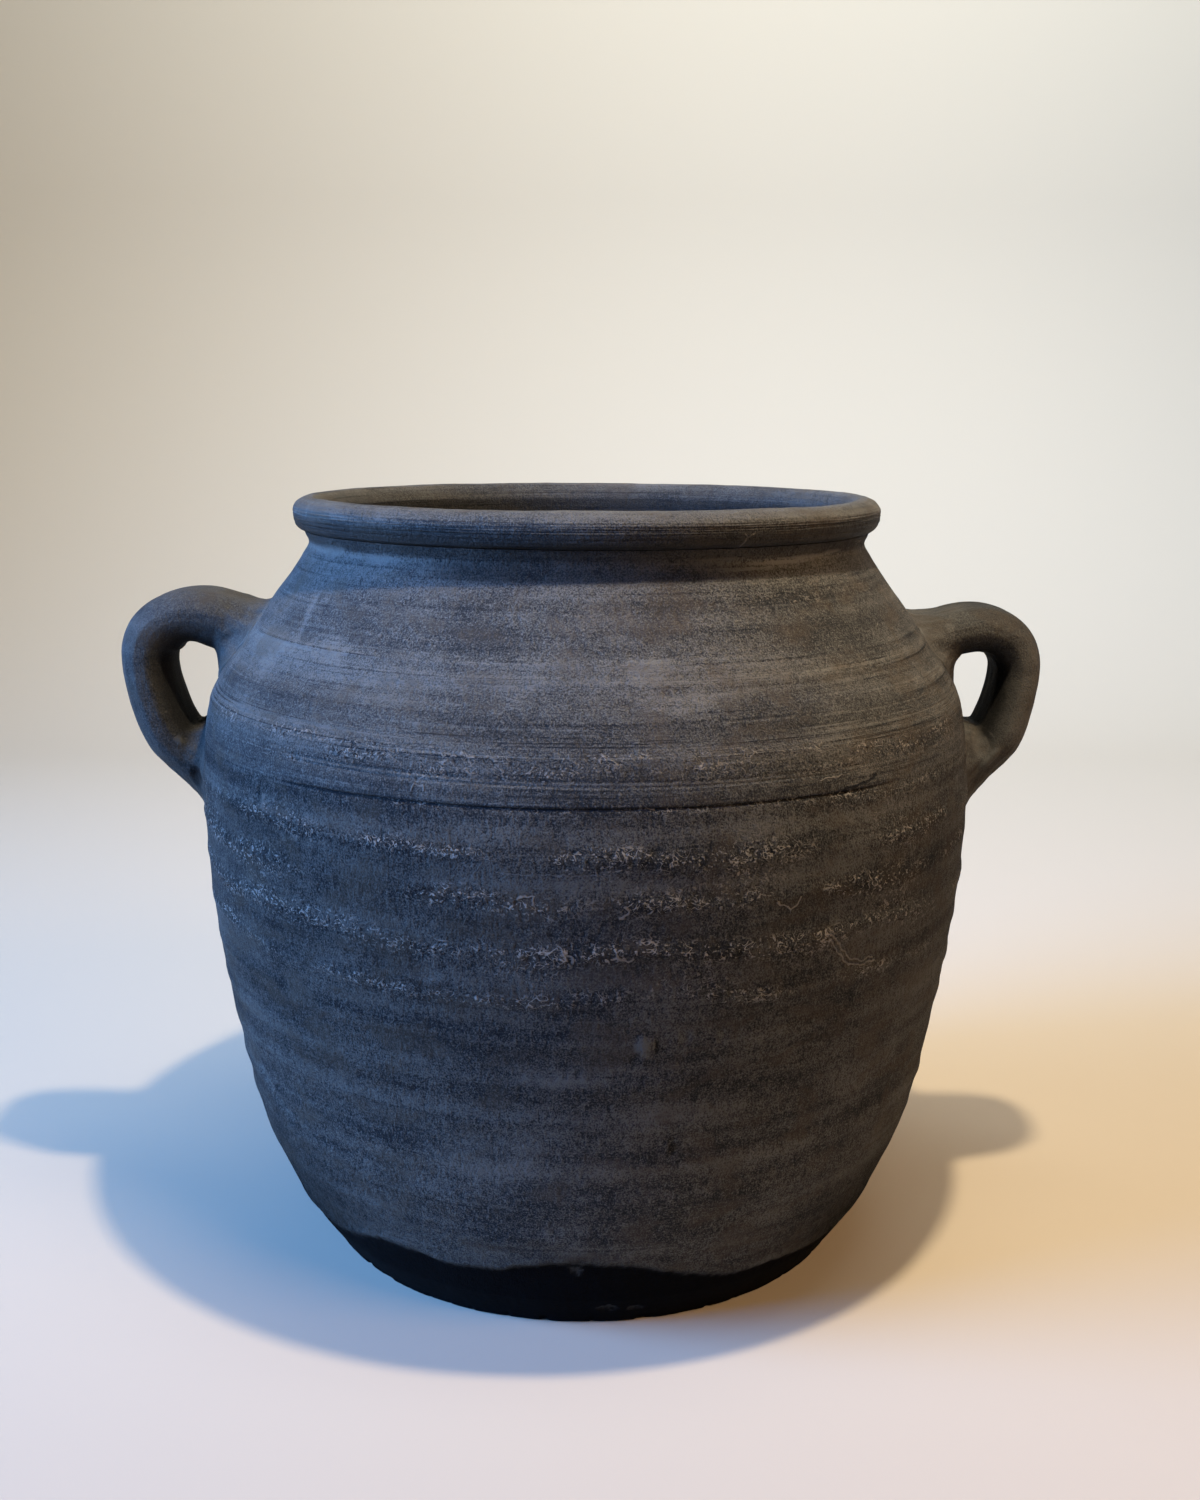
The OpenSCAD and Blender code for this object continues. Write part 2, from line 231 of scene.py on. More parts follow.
# Rubbed, paler places: angle, height, half width, half height, paleness
PATCHES = [
    (-43, 251, 15, 5.5, 0.45),
    (-57, 246, 9, 9, 0.3),
    (5.1, 258.8, 8, 3, 0.3),
    (9.1, 249.6, 10, 6, 0.55),
    (13.5, 240.5, 20, 4.5, 0.45),
    (-42, 130, 10, 5, 0.35),
    (-35, 125.5, 10, 3.5, 0.3),
    (-19, 122, 12, 3, 0.35),
    (-19.8, 149.1, 7, 3, 0.35),
    (-3.4, 113.6, 20, 4, 0.55),
    (-14, 80, 26, 12, 0.3),
    (6, 41, 40, 3, 0.45),
    (30, 47, 16, 4, 0.3),
    (28, 279.6, 16, 0.7, 1.3),
    (38, 281.2, 17, 0.7, 1.7),
    (46, 282.6, 15, 0.8, 2),
    (54, 283.4, 8, 0.7, 1.8),
    (24, 283.4, 14, 0.5, 0.9),
    # These three patches on the neck's left are partly rubbed clay and partly painted light
    (-28, 279, 12, 2.2, 0.7),
    (-41, 280.4, 9, 1.6, 0.6),
    (-58, 282, 10, 2.6, 1),
    (74, 232, 9, 8, 0.25),
    (118, 236, 26, 6, 0.35),
    (-128, 118, 24, 8, 0.35),
    (176, 196, 30, 5, 0.3),
]

# Where thumbs smeared the wall round the handles' roots: angle, height, half width, half height
SMEARS = [(-90, 243, 46, 27), (90, 241, 42, 24), (-90, 185, 33, 25), (90, 187, 33, 23)]


def turned(theta):
    """An angle in degrees brought to between -180 and 180."""
    return (theta + 180) % 360 - 180


def arc(theta, at, z):
    """Distance round the wall in millimetres from the angle at."""
    return np.radians(turned(theta - at)) * plain_r(np.minimum(z, CREASE_Z))


def smeared(theta, z):
    share = np.zeros(z.shape)
    for at, middle, wide, tall in SMEARS:
        q = np.hypot(arc(theta, at, z) / wide, (z - middle) / tall)
        share = np.maximum(share, 1 - ramp(q, 0.72, 1.1))
    return share


def rub_patches(theta, z, pale):
    for angle, height, half_w, half_h, tint in PATCHES:
        x, y = arc(theta, angle, z), z - height
        q = np.hypot(x / half_w, y / half_h) + 0.35 * noise(x / 5, y / 2.5, angle, 32)
        brushed = 0.7 * noise(x / 2.2, y / 1.6, angle, 33) + 0.8 * noise(x / 16, y / 0.9, angle, 34)
        pale += tint * (1 - ramp(q, 0.35, 1.15)) * np.clip(0.8 + brushed, 0, 1.8)


def press_dents(theta, z, d, pale):
    for angle, height, half_w, half_h, depth, tint in DENTS:
        x, y = arc(theta, angle, z), z - height
        q = np.hypot(x / half_w, y / half_h) * (1 + 0.35 * noise(x / 1.7, y / 1.7, angle, 31))
        d -= depth * (1 - ramp(q, 0.55, 1.15))
        d += 0.15 * abs(depth) * hump(q - 1.25, 0.25)
        mottled = np.clip(0.7 + noise(x / 1.6, y / 1.6, angle, 35), 0.1, 1.5)
        pale += tint * (1 - ramp(q, 0.7, 1.25)) * mottled


def from_line(theta, z, places):
    """Distance in millimetres from a broken line of places."""
    near = np.full(z.shape, 99.0)
    for (a0, z0), (a1, z1) in zip(places, places[1:]):
        x, y = arc(theta, a0, z), z - z0
        dx, dy = np.radians(a1 - a0) * plain_r(min(z0, CREASE_Z)), z1 - z0
        t = np.clip((x * dx + y * dy) / (dx * dx + dy * dy), 0, 1)
        near = np.minimum(near, np.hypot(x - t * dx, y - t * dy))
    return near


def place_marks(theta, z, d, pale):
    """Adds the patches, dents and strokes to the height d and the paleness of the wall, in place."""
    rub_patches(theta, z, pale)
    press_dents(theta, z, d, pale)
    for places, width, depth, tint in STROKES:
        near = from_line(theta, z, places)
        d -= depth * hump(near, width)
        d += 0.25 * depth * hump(near - 1.9 * width, 0.7 * width)
        pale += tint * hump(near, 1.1 * width)


class Drum:
    """Noise on a round wall, in patches so many millimetres wide and tall."""

    def __init__(self, radius, theta, z):
        a = np.radians(theta)
        self.x, self.y, self.z = radius * np.sin(a), -radius * np.cos(a), z

    def noise(self, wide, tall, seed):
        return noise(self.x / wide, self.y / wide, self.z / tall, seed)

    def level(self, wide, layer, seed):
        """The same noise at every height, from one layer of it."""
        return noise(self.x / wide, self.y / wide, layer, seed)


def slow_waves(drum, z):
    """The wall's own unevenness, with a grainy skin and broad bands low down."""
    calm = ramp(300 - z, 0, 70)
    low = ramp(160 - z, 0, 30) * ramp(z, 26, 34)
    d = 0.4 * drum.noise(75, 60, 1) * calm + 0.14 * drum.noise(26, 18, 2) * (0.4 + 0.6 * calm)
    return d + low * (0.06 * drum.noise(2.2, 3, 8) + 0.16 * drum.noise(160, 7, 9))


def throwing_rings(drum, theta, z, smear):
    """The rings wind up the lower wall as one spiral. Returns their height and how torn they are."""
    turn = (z - RING_Z) / RING_PITCH + theta / 360
    wander = 0.16 * drum.noise(40, 30, 3) + 0.05 * drum.noise(9, 9, 5)
    crest = (turn + wander + 0.5) % 1 - 0.5
    uneven = np.clip(0.75 + 0.9 * drum.noise(48, 16, 4), 0.15, 1.6) * (1 - 0.75 * smear)
    on_body = ramp(LOWER_H - 1 - z, 0, 4) * ramp(z, 34, 52)
    d = (hump(crest, 0.17) - 0.3) * 0.62 * on_body * uneven
    d = d + smear * (0.3 + 0.45 * drum.noise(9, 20, 24) + 0.12 * drum.noise(3, 7, 25))

    band = ramp(z, 128, 158) * ramp(LOWER_H + 1.5 - z, 0, 3)
    cluster = np.clip(0.8 + 1.2 * drum.noise(30, 14, 26), 0.15, 1.4) * (1 - 0.5 * ramp(z, 195, 202))
    torn = band * (0.26 + 0.74 * hump(crest - 0.03, 0.18)) * np.clip(uneven + 0.2, 0, 1.2) * cluster
    torn = torn + 0.3 * ramp(z, 95, 130) * hump(crest, 0.13) * uneven * (1 - band)
    above_line = ramp(z, 213, 216) * ramp(232 - z, 0, 12)
    torn = torn + above_line * (0.28 + 0.4 * drum.noise(20, 7, 12))
    torn = np.clip(torn, 0, 1) * (1 - 0.8 * smear)
    pits = ramp(drum.noise(3.2, 2.4, 6), 0.28, 0.62)
    return d + torn * (0.16 * drum.noise(2.6, 1.9, 7) - 0.5 * pits), torn


def scored_lines(drum, z, side):
    """The scored belly line and two fine lines that close the smooth band over it."""
    deep = 0.05 + 0.95 * ramp(side, -46, -36) * ramp(47 - side, 0, 11)
    line_z = SCORE_Z + 0.35 * drum.level(30, 0.5, 10)
    d = -0.75 * deep * hump(z - line_z, 0.45)
    d = d + 0.14 * deep * ramp(z, line_z + 0.3, line_z + 1.6) * ramp(line_z + 7.4 - z, 0, 2.2)
    # The dark in the scored line is painted shade in its groove
    pale = -0.9 * deep * hump(z - line_z, 0.42)
    for lift, depth in ((7.3, 0.2), (8.9, 0.18)):
        fine_z = SCORE_Z + lift - 0.022 * side + 0.3 * drum.level(40, lift, 11)
        strength = np.clip(deep + 0.3 * drum.level(15, lift, 13), 0, 1)
        d = d - depth * hump(z - fine_z, 0.42) * strength
        pale = pale + 0.35 * hump(z - fine_z + 0.7, 0.4) * strength
    return d, pale


def wheel_lines(drum, z, smear):
    """Fine lines round the shoulder and neck, over low waves."""
    lines = 0.05 * drum.noise(90, 0.95, 14) + 0.075 * drum.noise(90, 2.1, 15)
    lines = lines + 0.14 * drum.noise(90, 5.5, 16)
    busy = (0.55 + 0.6 * drum.noise(55, 14, 17)) * (1 - 0.75 * ramp(z, 249, 255))
    waves = 0.22 * ramp(262 - z, 0, 20) * np.cos(TAU * (z - 236) / 13.5)
    return ramp(z, 217, 222) * (lines * np.clip(busy, 0.1, 1.2) * (1 - 0.85 * smear) + waves)


def foot_band(drum, z, under):
    """The band that a knife trimmed round the foot. under is the depth below its upper edge."""
    flats = 0.35 * drum.noise(16, 22, 20) + 0.12 * drum.noise(5, 6, 21)
    chips = ramp(drum.level(6, 0.2, 22), 0.25, 0.6) * ramp(4.5 - z, 0, 4.5)
    d = ramp(under, -0.3, 1.5) * (flats - 1) + 0.3 * hump(under + 1.2, 1.3) - 1.3 * chips
    return d, 0.25 * hump(under + 2, 1.6) * (1 + drum.level(12, 2.1, 23))


def foot_black_and_painted_shade(drum, z, side, under, pale):
    """The black of the trimmed band, and painted shade that climbs the wall low down, darker away from
    the front.
    """
    grit = 0.25 * drum.noise(2.2, 2, 27)
    blur = 1 + 4 * ramp(abs(side), 35, 80)
    foot_darkening = 0.45 * ramp(under + 8 * grit, -10, 1) + 0.55 * ramp(under + 4 * grit, -1.5 * blur, 2.5 * blur)
    painted_flank_shade = 0.85 * ramp(92 - z, 0, 74) * ramp(abs(side), 14, 62) * (1 + grit)
    return np.maximum(foot_darkening * (1 - np.clip(pale, 0, 0.3)), painted_flank_shade)


def outer_marks(theta, z):
    """Height of the wall's outer face over the plain outline, and its masks for the material."""
    theta, z = np.broadcast_arrays(theta, z)
    drum, side, smear = Drum(150, theta, z), turned(theta), smeared(theta, z)
    rings, torn = throwing_rings(drum, theta, z, smear)
    score, score_pale = scored_lines(drum, z, side)
    edge = band_edge(side) + 0.9 * drum.level(7, 3.3, 18) + 0.4 * drum.level(2.5, 1.3, 19)
    band, band_pale = foot_band(drum, z, edge - z)
    crease = 0.3 * hump(z - (CREASE_Z - 0.35), 0.9)
    d = slow_waves(drum, z) + rings + score + wheel_lines(drum, z, smear) + band - crease
    pale = score_pale + band_pale
    place_marks(theta, z, d, pale)
    foot_darkening = foot_black_and_painted_shade(drum, z, side, edge - z, pale)
    return d, {"pale": pale, "torn": torn, "cut": foot_darkening, "smear": smear}


def inner_marks(theta, z):
    """Height of the wall's inner face towards the axis: finger rings and a slow wobble."""
    drum = Drum(100, theta, z)
    turn = (LOWER_H - z) / 14 - theta / 360 + 0.2 * drum.noise(50, 40, 40)
    ring = np.cos(TAU * turn) * (0.5 + 0.3 * drum.noise(60, 30, 41))
    return ring + 0.06 * drum.noise(80, 1.6, 42) + 0.3 * drum.noise(60, 60, 43)


# ---- making meshes ----
def new_object(name, data):
    obj = bpy.data.objects.new(name, data)
    bpy.context.scene.collection.objects.link(obj)
    return obj


def volume(points, quads, tris):
    """Six times the volume inside the faces, below zero where they face inwards."""
    every = np.concatenate([quads[:, [0, 1, 2]], quads[:, [0, 2, 3]], tris])
    a, b, c = (points[every[:, k]] for k in range(3))
    return float((a * np.cross(b, c)).sum())


# Edges that bend more than this, in degrees, stay sharp
SHARP = 50


class Skin:
    """Collects rows of points and the faces between them, and makes one closed mesh."""

    # What the material reads: paleness (rubbed clay, with painted light and shade in places), torn
    # flecks, the foot band's black and painted shade, and smeared clay
    MASKS = ("pale", "torn", "cut", "smear")

    def __init__(self):
        self.points, self.masks, self.quads, self.tris, self.count = [], [], [], [], 0

    def rows(self, xyz, masks=None):
        """Adds rows of points, joined row to row, and returns the first and last row's numbers."""
        m, n, _ = xyz.shape
        index = self.count + np.arange(m * n).reshape(m, n)
        self.count += m * n
        self.points.append(xyz.reshape(-1, 3))
        masks = masks or {}
        self.masks.append(
            np.stack([np.broadcast_to(masks.get(k, 0.0), (m, n)).reshape(-1) for k in self.MASKS], 1)
        )
        for a, b in zip(index[:-1], index[1:]):
            self.join(a, b)
        return index[0], index[-1]

    def join(self, a, b):
        """Joins two rows of as many points with quads."""
        self.quads.append(np.stack([a, np.roll(a, -1), np.roll(b, -1), b], 1))

    def stitch(self, many, few, many_first):
        """Joins a row to one with a point for every THIN of its points."""
        half = (THIN + 1) // 2
        tris = []
        for j, (c, d) in enumerate(zip(few, np.roll(few, -1))):
            group = [many[(j * THIN + k) % len(many)] for k in range(THIN + 1)]
            tris += [(group[k], group[k + 1], c if k < half else d) for k in range(THIN)]
            tris.append((group[half], d, c))
        self.tris += tris if many_first else [tri[::-1] for tri in tris]

    def close(self, row, tip, first):
        """Closes a row with a fan to one point. first says that the row starts the skin."""
        self.points.append(np.array([tip], float))
        self.masks.append(np.zeros((1, len(self.MASKS))))
        pair = (np.roll(row, -1), row) if first else (row, np.roll(row, -1))
        self.tris += [(a, b, self.count) for a, b in zip(*pair)]
        self.count += 1

    def make(self, name, material):
        points = np.concatenate(self.points) * MM
        masks = np.concatenate(self.masks)
        quads = np.concatenate(self.quads)
        tris = np.array(self.tris, int).reshape(-1, 3)
        if volume(points, quads, tris) < 0:
            quads, tris = quads[:, ::-1], tris[:, ::-1]
        mesh = bpy.data.meshes.new(name)
        mesh.vertices.add(len(points))
        mesh.vertices.foreach_set("co", points.astype(np.float32).ravel())
        corners = np.concatenate([quads.ravel(), tris.ravel()]).astype(np.int32)
        mesh.loops.add(len(corners))
        mesh.loops.foreach_set("vertex_index", corners)
        starts = np.concatenate([
            np.arange(len(quads)) * 4, len(quads) * 4 + np.arange(len(tris)) * 3
        ]).astype(np.int32)
        mesh.polygons.add(len(starts))
        mesh.polygons.foreach_set("loop_start", starts)
        mesh.polygons.foreach_set("use_smooth", np.ones(len(starts), bool))
        mesh.update(calc_edges=True)
        mesh.validate()
        mesh.set_sharp_from_angle(angle=math.radians(SHARP))
        for k, key in enumerate(self.MASKS):
            layer = mesh.attributes.new(key, "FLOAT", "POINT")
            layer.data.foreach_set("value", masks[:, k].astype(np.float32))
        mesh.materials.append(material)
        return new_object(name, mesh)


def around(theta, r, z):
    """Points at angles theta, radii r and heights z."""
    a = np.radians(theta)
    return np.stack(np.broadcast_arrays(r * np.sin(a), -r * np.cos(a), z), -1)


def spread(*spans):
    """Evenly filled spans: from, to and a number of steps each."""
    parts = [np.linspace(a, b, n, endpoint=False) for a, b, n in spans]
    return np.concatenate(parts + [[spans[-1][1]]])


def column(z):
    return np.asarray(z, float)[:, None]


# Angles of the points round the wall, closest in front, and how many outside share one inside
FINE = spread((-100, -66, 56), (-66, 66, 424), (66, 100, 56), (100, 260, 144))[:-1]
EVEN = spread((-100, -60, 48), (-60, 60, 260), (60, 100, 48), (100, 260, 128))[:-1]
THIN = 4

# How far the inside is darkened towards black, as painted shade
INSIDE_PAINTED_SHADE = 0.38


def inner_radius(z):
    return plain_r(z) - WALL_T * np.sqrt(1 + slope(z) ** 2)


def thrown_wall(name, theta, outer_z, inside, material):
    """A ring of wall between two flat joints. inside holds rows of radius, height and marks' share."""
    skin = Skin()
    z = column(outer_z)
    d, masks = outer_marks(theta, z)
    low, high = skin.rows(around(theta, plain_r(z) + d, z), masks)
    few = theta[::THIN]
    r, z, share = (column(v) for v in np.transpose(inside))
    first, last = skin.rows(around(few, r + share * inner_marks(few, z), z), {"cut": INSIDE_PAINTED_SHADE})
    skin.stitch(high, first, True)
    skin.stitch(low, last, False)
    return skin.make(name, material)


def inner_rows(top, bottom, n):
    zs = np.linspace(top, bottom, n)
    return [(r, z, 1) for r, z in zip(inner_radius(zs), zs)]


def lower_wall(material):
    heel_z = FLOOR_T + HEEL_R
    heel_r = float(inner_radius(heel_z))
    inside = inner_rows(LOWER_H, heel_z, 66)
    for a in np.radians(np.arange(7.5, 91, 7.5)):
        r, z = heel_r - HEEL_R * (1 - math.cos(a)), heel_z - HEEL_R * math.sin(a)
        inside.append((r, z, math.cos(a) ** 2))
    outside = spread((FLOOR_T, 36, 18), (36, 130, 38), (130, 205.5, 60), (205.5, LOWER_H, 9))
    return thrown_wall("lower_wall", FINE, outside, inside, material)


def shoulder(material):
    outside = spread((LOWER_H, 218, 34), (218, NECK_Z, 112))
    return thrown_wall("shoulder", EVEN, outside, inner_rows(NECK_Z, LOWER_H, 40), material)


def neck(material):
    """The neck, with a straight throat that widens into the shoulder's inside."""
    rows = [(THROAT_R, z) for z in np.linspace(CREASE_Z, THROAT_LOW_Z, 12)]
    wide = float(inner_radius(NECK_Z)) - THROAT_R
    for z in np.linspace(THROAT_LOW_Z, NECK_Z, 10)[1:]:
        t = (THROAT_LOW_Z - z) / (THROAT_LOW_Z - NECK_Z)
        rows.append((THROAT_R + wide * t ** 1.7, z))
    inside = [(r, z, 1 - 0.65 * ramp(z, NECK_Z, NECK_Z + 12)) for r, z in rows]
    return thrown_wall("neck", EVEN, spread((NECK_Z, CREASE_Z, 60)), inside, material)


def rim_profile():
    """Places round the roll from the crease over the top to the throat: radius, height, distance."""
    a = np.linspace(TUCK, 0, 34, endpoint=False)
    under_r = CREASE_R + (RIM_R - CREASE_R) * (np.cos(a) - math.cos(TUCK)) / (1 - math.cos(TUCK))
    under_z = WIDEST_Z - (WIDEST_Z - CREASE_Z) * np.sin(a) / math.sin(TUCK)
    b = np.linspace(0, math.pi / 2, 40, endpoint=False)
    over_r = CREST_R + (RIM_R - CREST_R) * np.cos(b)
    over_z = WIDEST_Z + (TOP_Z - WIDEST_Z) * np.sin(b)
    c = np.linspace(0, math.pi / 2, 40)
    in_r = THROAT_R + (CREST_R - THROAT_R) * (1 - np.sin(c))
    in_z = LIP_Z + (TOP_Z - LIP_Z) * np.cos(c)
    r = np.concatenate([under_r, over_r, in_r, [THROAT_R] * 3])
    z = np.concatenate([under_z, over_z, in_z, [CREASE_Z + 1.4, CREASE_Z + 0.7, CREASE_Z]])
    s = np.concatenate([[0], np.cumsum(np.hypot(np.diff(r), np.diff(z)))])
    return r, z, s


# Lines turned into the roll's face: height and depth
RIM_LINES = [(295.7, 0.14), (294.8, 0.24), (294.0, 0.28), (293.2, 0.28), (292.3, 0.22), (290.6, 0.14)]


def rim_lines(drum, s, z):
    deep = 0
    for line_z, depth in RIM_LINES:
        at = line_z + 0.25 * drum.level(60, line_z, 54)
        strength = np.clip(0.8 + 0.8 * drum.level(35, line_z, 55), 0.1, 1.5)
        deep = deep + depth * strength * hump(z - at, 0.3)
    return deep * ramp(s, 0, 1) * ramp(14 - s, 0, 3)


def rim(material):
    """The rolled rim. Both ends of its profile carry on the neck's own marks."""
    r, z, s = rim_profile()
    out_r, out_z = column(np.gradient(z, s)), column(-np.gradient(r, s))
    r, z, s, to_end = (column(v) for v in (r, z, s, s[-1] - s))
    drum = Drum(112, EVEN, s)
    lines = rim_lines(drum, s, z)
    free = ramp(s, 0, 2.5) * ramp(to_end, 0, 3)
    d = 0.06 * drum.noise(70, 0.8, 50) + 0.10 * drum.noise(70, 2, 51) - 1.6 * lines
    d = free * (d + 0.28 * drum.noise(30, 9, 52) + 0.08 * drum.noise(6, 4, 53))
    seam, _ = outer_marks(EVEN, CREASE_Z)
    throat = 0.35 * inner_marks(EVEN, CREASE_Z)
    d = d + seam * (1 - ramp(s, 0, 3)) - throat * (1 - ramp(to_end, 0, 6))
    crown = ramp(z, WIDEST_Z - 3, TOP_Z)
    sway = 0.45 * drum.level(60, 0.4, 56) + 0.12 * drum.level(14, 0.7, 57)
    # The turned lines are painted darker, as painted shade in their grooves
    pale = 0.25 * crown * (1 + drum.noise(18, 4, 58)) - 2.2 * lines
    marked, tone = np.zeros(d.shape), pale.copy()
    place_marks(EVEN, np.broadcast_to(z, d.shape), marked, tone)
    facing = ramp(out_r, 0.1, 0.5)
    radius = r + out_r * d + marked * facing * free
    masks = {"pale": pale + (tone - pale) * facing, "cut": INSIDE_PAINTED_SHADE * ramp(s, 19, 26)}
    skin = Skin()
    low, high = skin.rows(around(EVEN, radius, z + out_z * d + sway * crown), masks)
    skin.join(high, low)
    return skin.make("rim", material)


def disc_noise(theta, r, layer):
    """Places on a flat disc, with fine and broad noise there."""
    a = np.radians(theta)
    x, y = r * np.sin(a), -r * np.cos(a)
    return x, y, noise(x / 3, y / 3, layer, 60), noise(x / 14, y / 14, layer, 61)


def underside(theta, edge_r):
    """Rows from the middle out, cut off the wheel with a wire and hollowed a little by drying."""
    r = column(spread((4, edge_r - 2.2, 72)))
    x, y, fine, broad = disc_noise(theta, r, 0.5)
    shell = np.hypot(x + 150, y - 60)
    wire = 0.22 * np.cos(TAU * shell / 6.2 + 1.6 * broad) + 0.1 * noise(shell / 1.4, 0.5, 0.5, 62)
    hollow = 0.9 * (1 - (r / edge_r) ** 6)
    z = hollow + (wire + 0.1 * fine + 0.15 * broad) * ramp(edge_r - r, 1.5, 9) * 0.8
    return around(theta, r, np.maximum(z, 0)), float(hollow.max())


def finger_spiral(theta):
    """Rows from the wall's flat seat in to the middle, over the spiral left by the fingers."""
    heel = float(inner_radius(FLOOR_T + HEEL_R)) - HEEL_R
    r = column(spread((heel + 14, heel, 6), (heel, 4, 56)))
    _, _, fine, broad = disc_noise(theta, r, 1.5)
    spiral = np.cos(TAU * (r / 13 - theta / 360)) * (0.45 + 0.2 * broad)
    z = FLOOR_T + (spiral + 0.05 * fine) * ramp(heel - r, 0, 8) - 0.6 * ramp(heel - r, 0, 20)
    z = z + 1.1 * hump(r, 9)
    return around(theta, r, z), float(z[-1].mean())


def floor(material):
    """The slab floor: the wire-cut underside, the worn edge, the trimmed side and the inside."""
    skin = Skin()
    few = FINE[::THIN]
    edge_r = float(plain_r(FOOT_EDGE)) - FOOT_EDGE
    rows, middle = underside(few, edge_r)
    start, ring = skin.rows(rows)
    skin.close(start, (0, 0, middle), True)

    a = np.radians(np.arange(0, 91, 11.25))
    d, masks = outer_marks(FINE, np.full((len(a), 1), FOOT_EDGE))
    r = column(plain_r(FOOT_EDGE) - FOOT_EDGE * (1 - np.sin(a))) + d
    low, worn = skin.rows(around(FINE, r, column(FOOT_EDGE * (1 - np.cos(a)))), masks)
    skin.stitch(low, ring, False)

    z = column(spread((FOOT_EDGE, FLOOR_T, 13))[1:])
    d, masks = outer_marks(FINE, z)
    first, high = skin.rows(around(FINE, plain_r(z) + d, z), masks)
    skin.join(worn, first)

    rows, middle = finger_spiral(few)
    top, centre = skin.rows(rows, {"cut": INSIDE_PAINTED_SHADE})
    skin.stitch(high, top, True)
    skin.close(centre, (0, 0, middle), False)
    return skin.make("floor", material)


# ---- handles ----
# Sizes as in the part's source, then the clay left inside the bend, under the upper root and in
# the upper pad's web, and each strap's painted light on its sides (painted shade where below zero) and
# painted shade on its top
LEFT = dict(
    side=-1, rise=39.2, bend=27.5, drop=20, reach=23.7, t=20.5, w=36, upper=40, lower=42, smear=3, sag=1,
    angle=math.radians(17.5), corner=0.87, fall=0.38, fill=3.2, root=2.4, web=0.45, worn=-0.1, painted_top_shade=0.1,
)
RIGHT = dict(
    side=1, rise=35.5, bend=23.5, drop=19, reach=21.3, t=19.3, w=35, upper=35, lower=41, smear=1, sag=1,
    angle=math.radians(15), corner=0.86, fall=0.30, fill=1.2, root=0.8, web=0.25, worn=0.5, painted_top_shade=0.35,
)
UPPER_STUB, LOWER_STUB, PAD_W = 13.3, 19.0, 52.0
LOWER_ANGLE = math.radians(47)

# Angles round a strap or pad, from its outer face
AROUND = np.linspace(0, TAU, 144, endpoint=False)
OUT, ACROSS = np.cos(AROUND), np.sin(AROUND)

# How far the inner faces of the handles are darkened towards black, as painted shade
INNER_PAINTED_SHADE = 0.8 * (0.45 * ramp(-OUT, -0.1, 0.4) + 0.55 * ramp(-OUT, 0.3, 0.75))

# Thumb marks on the pads, by side and whether it is the upper one: angle round the pad, share of
# the way to the wall, half width of each, depth and paleness
THUMBS = {
    (-1, True): [(85, 0.9, 62, 0.06, -0.5, 0.8), (120, 0.45, 30, 0.2, 0.5, 0)],
    (-1, False): [
        (112, 0.1, 11, 0.16, -0.3, 0.9),
        # This deep thumb hollow is painted dark, as painted shade in it
        (84, 0.62, 17, 0.17, 1, -1),
        (70, 0.92, 40, 0.05, -0.3, 0.4),
    ],
    (1, True): [(-82, 0.92, 50, 0.05, -0.5, 0.5), (-70, 0.2, 12, 0.12, -0.4, 0.4)],
    (1, False): [
        (-124, 0.28, 34, 0.32, 1.7, 1.1),
        (-88, 0.25, 10, 0.28, -0.9, 0.7),
        (-75, 0.93, 50, 0.05, -0.4, 0.4),
    ],
}


def soft(v):
    return np.sign(v) * np.abs(v) ** 0.92


def along(p, angle, d):
    return np.array([p[0] + d * math.cos(angle), p[1] + d * math.sin(angle)])


def root(z):
    return np.array([float(plain_r(z)), z])


def bezier(p, t):
    t = column(t)
    return (1 - t) ** 3 * p[0] + 3 * t * (1 - t) ** 2 * p[1] + 3 * t * t * (1 - t) * p[2] + t ** 3 * p[3]


def strap_line(h):
    """The strap's middle line from the upper joint to the lower one, with its sizes."""
    upper = along(root(LOWER_H + h["rise"]), h["angle"], UPPER_STUB)
    lower = along(root(LOWER_H - h["drop"]), LOWER_ANGLE, LOWER_STUB) + np.array([0.6, -0.6]) * h["sag"]
    b = np.array([BELLY_R + h["reach"], LOWER_H + h["bend"]])
    first = [
        upper, along(upper, h["angle"], 0.55 * (b[0] - upper[0])),
        np.array([b[0], b[1] + h["corner"] * (upper[1] - b[1])]), b,
    ]
    second = [
        b, np.array([b[0], b[1] - h["fall"] * (b[1] - lower[1])]),
        along(lower, LOWER_ANGLE, 0.55 * (b[0] - lower[0])), lower,
    ]
    t = np.linspace(0, 1, 61)
    line = np.concatenate([bezier(first, t), bezier(second, t[1:])])
    ease = ramp(t, 0, 1)
    half_t = np.concatenate([0.98 + 0.02 * ease, (1 + 0.03 * ease)[1:]]) * h["t"] / 2
    half_w = np.concatenate([1.06 - 0.06 * ease, (1 + 0.12 * ease)[1:]]) * h["w"] / 2
    s = np.concatenate([[0], np.cumsum(np.hypot(*np.diff(line, axis=0).T))])
    even = np.linspace(0, s[-1], 150)
    line = np.stack([np.interp(even, s, line[:, k]) for k in range(2)], 1)
    half_t, half_w = np.interp(even, s, half_t), np.interp(even, s, half_w)
    heading = np.unwrap(np.arctan2(*np.gradient(line, axis=0).T[::-1]))
    heading[0], heading[-1] = h["angle"], LOWER_ANGLE - math.pi
    return line, heading, half_t, half_w, even


def turned_round(h, xyz):
    return xyz * np.array([h["side"], h["side"], 1])


def strap_end(h, at):
    r, z = strap_line(h)[0][at]
    return turned_round(h, np.array([r, 0.0, z]))


def ringed(times, way, seed):
    """Noise round a strap or pad, finer with more times, that drifts along its way."""
    return noise(OUT * times, ACROSS * times, way, seed)


